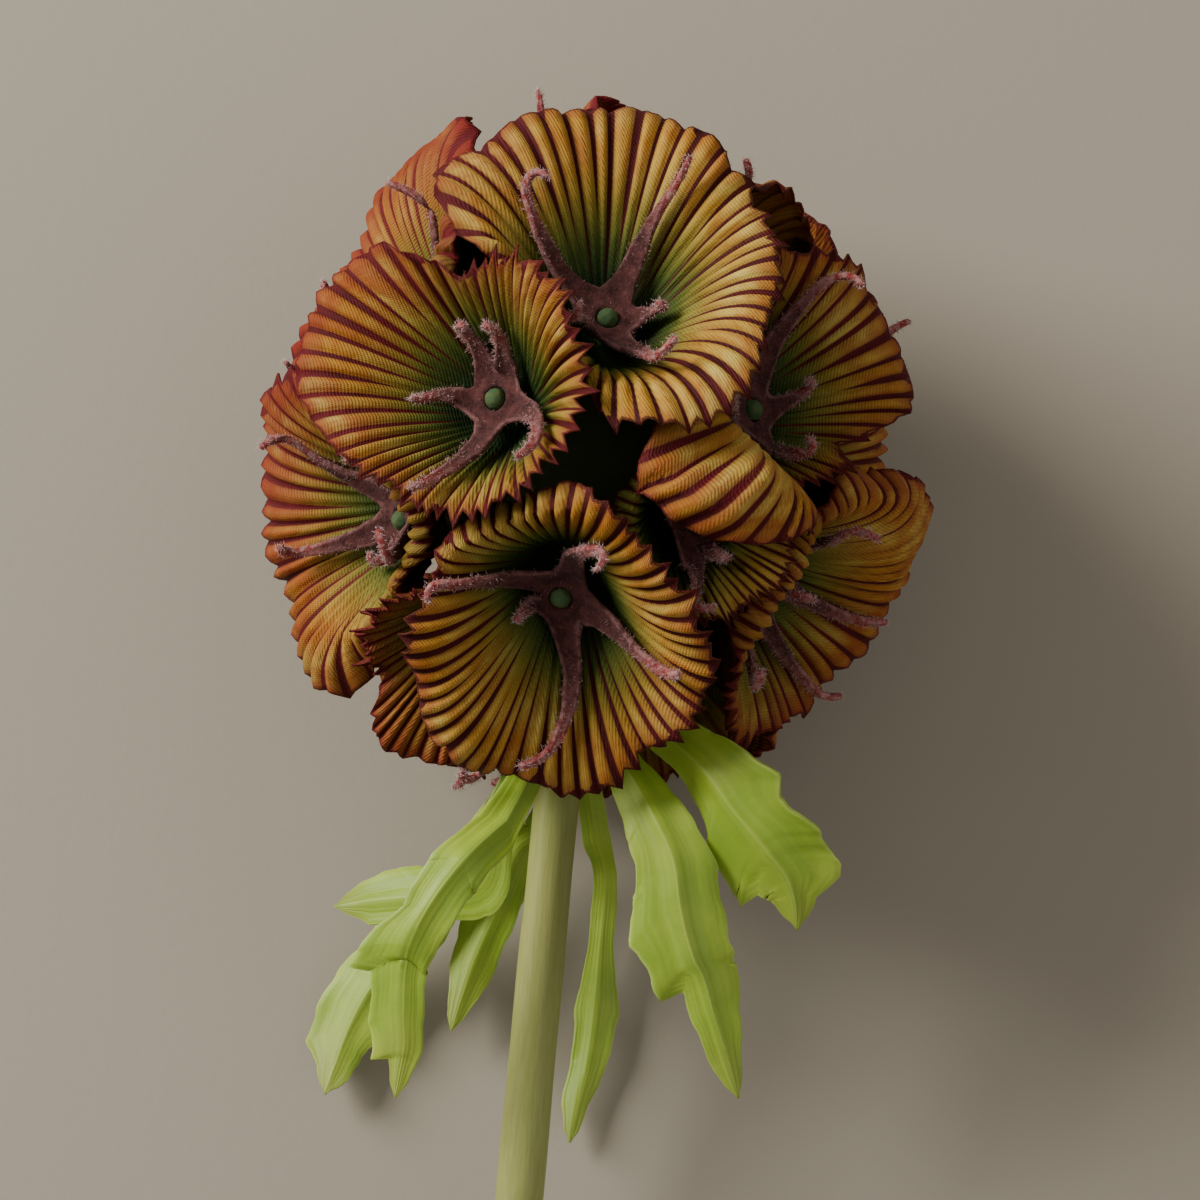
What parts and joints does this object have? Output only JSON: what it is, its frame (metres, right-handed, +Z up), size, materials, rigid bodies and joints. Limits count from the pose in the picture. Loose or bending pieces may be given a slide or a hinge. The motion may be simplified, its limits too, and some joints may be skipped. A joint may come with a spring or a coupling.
{
  "type": "scabiosa seed pod",
  "caption": "Round scabiosa seed head of overlapping pleated cloth bells with felt stars, on a cut stem with hanging lobed green bracts, lying on its side.",
  "frame": {"origin": "centre of the bounding box, at the surface the pod lies on", "axes": "+Y from the cut end of the stem to the crown, +Z up, away from the surface; the side seen in the picture faces up"},
  "size_m": [0.0584, 0.1452, 0.0515],
  "materials": {
    "bell_cloth": "pleated woven cloth, olive at the throat, orange and rust at the rim, with dark red stripes",
    "star_felt": "fuzzy plum felt",
    "bract_cloth": "smooth lime green cloth with faint veins",
    "stem_skin": "satin olive skin",
    "core_green": "matte dark green"
  },
  "bodies": {
    "root": {"pod_core": "core_green", "stem": "stem_skin", "bract_whorl": "bract_cloth", "bell_front_left": "bell_cloth", "star_front_left": "star_felt", "bell_crown_front": "bell_cloth", "star_crown_front": "star_felt", "bell_front_low": "bell_cloth", "star_front_low": "star_felt", "bell_front_right": "bell_cloth", "star_front_right": "star_felt", "bell_left_low": "bell_cloth", "star_left_low": "star_felt", "bell_middle": "bell_cloth", "star_middle": "star_felt", "bell_left": "bell_cloth", "star_left": "star_felt", "bell_right_low": "bell_cloth", "star_right_low": "star_felt", "bell_left_under": "bell_cloth", "star_left_under": "star_felt", "bell_right": "bell_cloth", "star_right": "star_felt", "bell_left_high": "bell_cloth", "star_left_high": "star_felt", "bell_crown_left": "bell_cloth", "star_crown_left": "star_felt", "bell_back": "bell_cloth", "star_back": "star_felt", "bell_back_low": "bell_cloth", "star_back_low": "star_felt", "bell_left_back": "bell_cloth", "star_left_back": "star_felt", "bell_right_back": "bell_cloth", "star_right_back": "star_felt", "bell_back_high": "bell_cloth", "star_back_high": "star_felt", "bell_right_high": "bell_cloth", "star_right_high": "star_felt", "bell_back_side": "bell_cloth", "star_back_side": "star_felt", "bell_crown_back": "bell_cloth", "star_crown_back": "star_felt", "bell_under_back": "bell_cloth", "star_under_back": "star_felt"}
  },
  "joints": []
}
